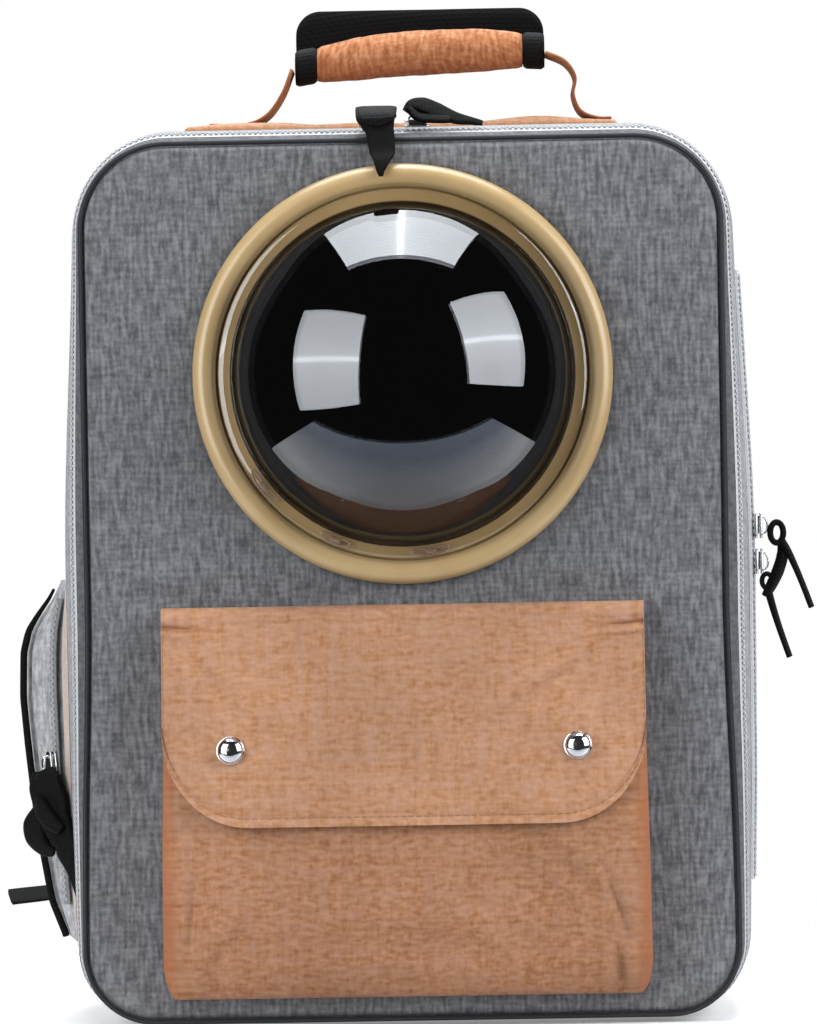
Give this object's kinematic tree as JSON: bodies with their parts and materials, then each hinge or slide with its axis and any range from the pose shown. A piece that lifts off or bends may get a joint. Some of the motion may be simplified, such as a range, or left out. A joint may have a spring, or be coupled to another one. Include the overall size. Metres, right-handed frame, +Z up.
{
  "type": "bubble pet carrier backpack",
  "caption": "Boxy soft-sided pet carrier backpack with a round bubble window, a flapped front pocket, a top handle, side zips and shoulder straps.",
  "frame": {"origin": "middle of the flat bottom wall that the bag stands on", "axes": "+Z up, -Y the front with the bubble window and the pocket, +X to the right as seen from the front"},
  "size_m": [0.4048, 0.3358, 0.487],
  "materials": {
    "grey_cloth": "heather woven cloth",
    "light_cloth": "light grey woven cloth",
    "zip_tape": "woven zip tape",
    "dark_piping": "smooth corded piping",
    "black_lining": "dull black lining",
    "black_webbing": "woven webbing",
    "orange_cloth": "melange woven cloth",
    "gold_ring": "satin moulded plastic",
    "clear_shell": "clear polished plastic",
    "snap_metal": "polished",
    "black_plastic": "moulded"
  },
  "bodies": {
    "root": {"front_panel": "grey_cloth", "front_piping": "dark_piping", "front_band": "grey_cloth", "front_zip": "zip_tape", "gusset": "light_cloth", "cabin_lining": "black_lining", "rear_piping": "dark_piping", "back_panel": "black_lining", "dome_ring": "gold_ring", "bubble_dome": "clear_shell", "dome_clip_1": "clear_shell", "dome_clip_2": "clear_shell", "dome_clip_3": "clear_shell", "pocket_body": "orange_cloth", "pocket_flap": "orange_cloth", "snap_left": "snap_metal", "snap_right": "snap_metal", "handle_grip": "orange_cloth", "grip_end_left": "black_webbing", "grip_end_right": "black_webbing", "grip_wrap": "black_webbing", "handle_strap_left": "orange_cloth", "handle_strap_right": "orange_cloth", "handle_patch": "orange_cloth", "zip_slider_top_left": "snap_metal", "zip_slider_top_right": "snap_metal", "zip_pull_top_left": "black_webbing", "zip_pull_top_right": "black_webbing", "side_zip_right": "zip_tape", "side_tab_right": "light_cloth", "zip_slider_right_upper": "snap_metal", "zip_slider_right_lower": "snap_metal", "zip_pull_right_upper": "black_webbing", "zip_pull_right_lower": "black_webbing", "side_pocket": "light_cloth", "side_pocket_binding": "black_webbing", "side_zip_left": "zip_tape", "zip_slider_left_upper": "snap_metal", "zip_slider_left_lower": "snap_metal", "zip_pull_left_upper": "black_webbing", "zip_pull_left_lower": "black_webbing", "shoulder_strap_left": "grey_cloth", "shoulder_strap_right": "grey_cloth", "ladder_lock_left": "black_plastic", "ladder_lock_right": "black_plastic", "lower_webbing_left": "black_webbing", "lower_webbing_right": "black_webbing", "strap_tail_left": "black_webbing", "strap_tail_right": "black_webbing"}
  },
  "joints": []
}
